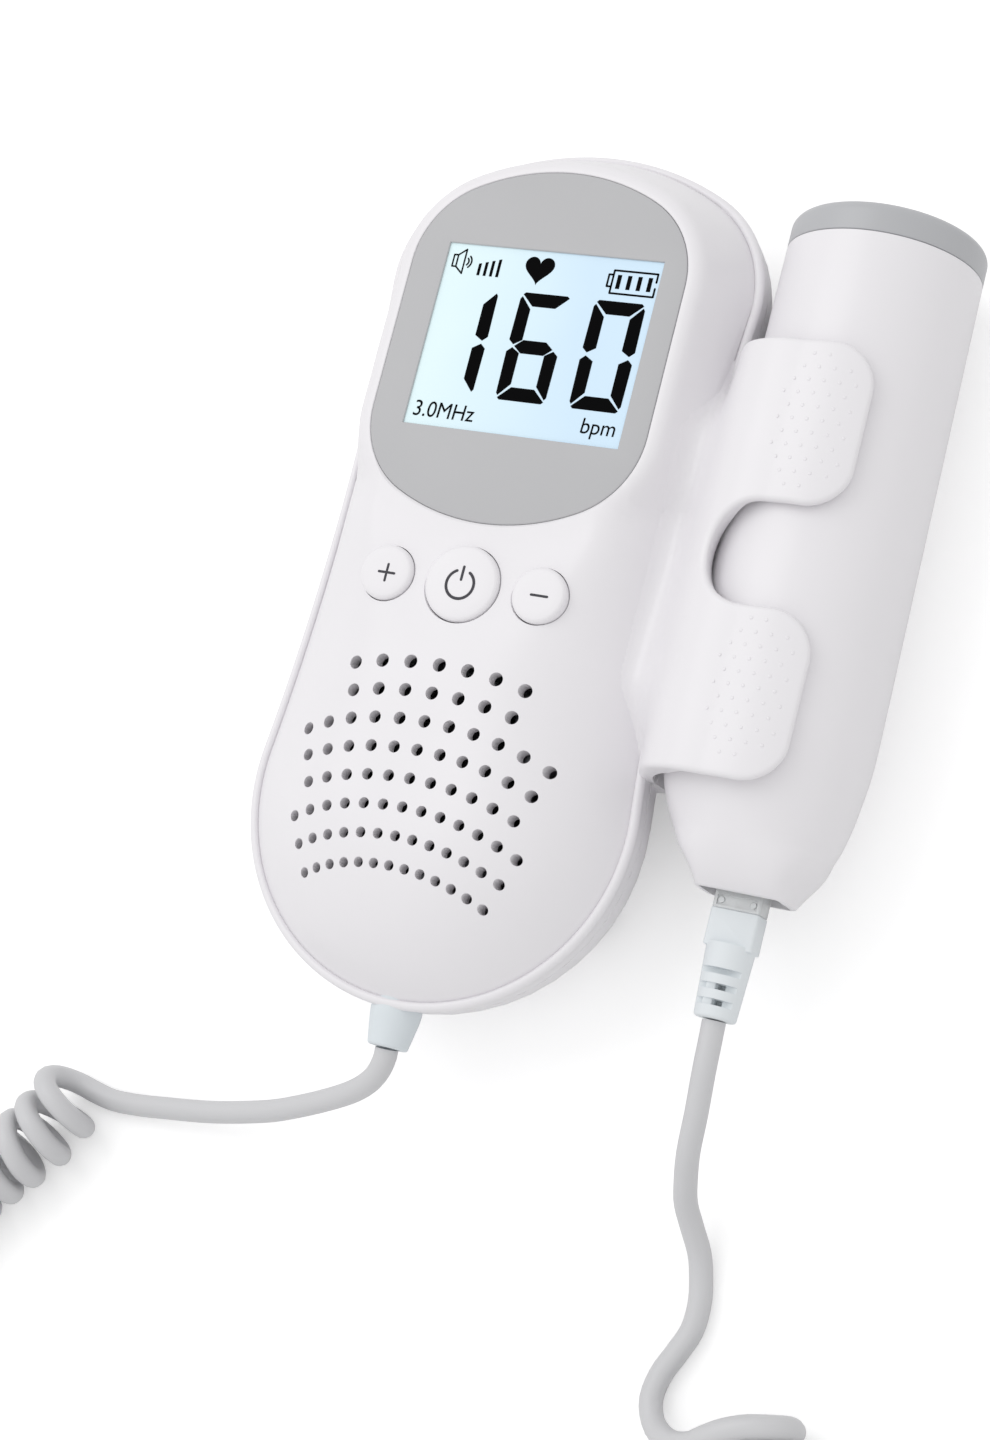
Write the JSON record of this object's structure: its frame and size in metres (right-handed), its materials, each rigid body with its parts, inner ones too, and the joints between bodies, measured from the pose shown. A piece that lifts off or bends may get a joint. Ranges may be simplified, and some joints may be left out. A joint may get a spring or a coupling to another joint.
{
  "type": "fetal doppler",
  "caption": "Hand-held heart-rate doppler: display unit with keys and loudspeaker, round probe in a side cradle and a curly cord between them.",
  "frame": {"origin": "centre of the box of the unit and probe, at the level of the surface that the rear shell and the cradle lie on", "axes": "+Y towards the display end, +Z out of the display face, +X towards the probe"},
  "size_m": [0.1738, 0.2835, 0.0368],
  "materials": {
    "shell_white": "satin moulded",
    "bezel_grey": "satin painted",
    "lcd_glass": "polished",
    "light_plate": "frosted",
    "dark_plastic": "moulded",
    "key_white": "satin moulded",
    "key_rubber": "matte",
    "circuit_board": "lacquered",
    "plated_steel": "nickel plated",
    "cell_jacket": "printed sleeve",
    "gland_rubber": "satin",
    "cord_grey": "satin",
    "plug_clear": "clear moulded",
    "contact_gold": "plated",
    "cap_grey": "matte moulded",
    "ceramic": "silvered ceramic",
    "backing": "cast resin",
    "socket_plastic": "clear moulded"
  },
  "bodies": {
    "main_unit": {"front_shell": "shell_white", "rear_shell": "shell_white", "display_bezel": "bezel_grey", "lcd_panel": "lcd_glass", "lcd_backlight": "light_plate", "lcd_frame": "dark_plastic", "key_mat": "key_rubber", "main_board": "circuit_board", "board_chips": "dark_plastic", "board_screws": "plated_steel", "speaker_basket": "plated_steel", "speaker_cone": "dark_plastic", "speaker_magnet": "plated_steel", "battery_cells": "cell_jacket", "battery_springs": "plated_steel", "battery_plates": "plated_steel", "case_screws": "plated_steel", "cord_gland": "gland_rubber", "cord_lead_unit": "cord_grey", "curly_cord": "cord_grey", "cord_lead_probe": "cord_grey"},
    "battery_cover": {"battery_cover": "shell_white"},
    "plus_key": {"plus_key": "key_white"},
    "power_key": {"power_key": "key_white"},
    "minus_key": {"minus_key": "key_white"},
    "probe": {"plug_body": "plug_clear", "plug_contacts": "contact_gold", "plug_latch": "plug_clear", "plug_boot": "gland_rubber", "probe_shell": "shell_white", "probe_cap": "cap_grey", "transducer_discs": "ceramic", "acoustic_backing": "backing", "probe_board": "circuit_board", "probe_socket": "socket_plastic", "socket_contacts": "contact_gold"}
  },
  "joints": [
    {"name": "plus_press", "type": "slide", "parent": "main_unit", "child": "plus_key", "axis": [0, 0, -1], "range_m": [0, 0.0006], "stiffness_N_per_m": 1200},
    {"name": "power_press", "type": "slide", "parent": "main_unit", "child": "power_key", "axis": [0, 0, -1], "range_m": [0, 0.0006], "stiffness_N_per_m": 1500},
    {"name": "minus_press", "type": "slide", "parent": "main_unit", "child": "minus_key", "axis": [0, 0, -1], "range_m": [0, 0.0006], "stiffness_N_per_m": 1200},
    {"name": "probe_slide", "type": "slide", "parent": "main_unit", "child": "probe", "axis": [0, 1, 0], "range_m": [0, 0.09]},
    {"name": "battery_cover_slide", "type": "slide", "parent": "main_unit", "child": "battery_cover", "axis": [0, -1, 0], "range_m": [0, 0.092]}
  ]
}
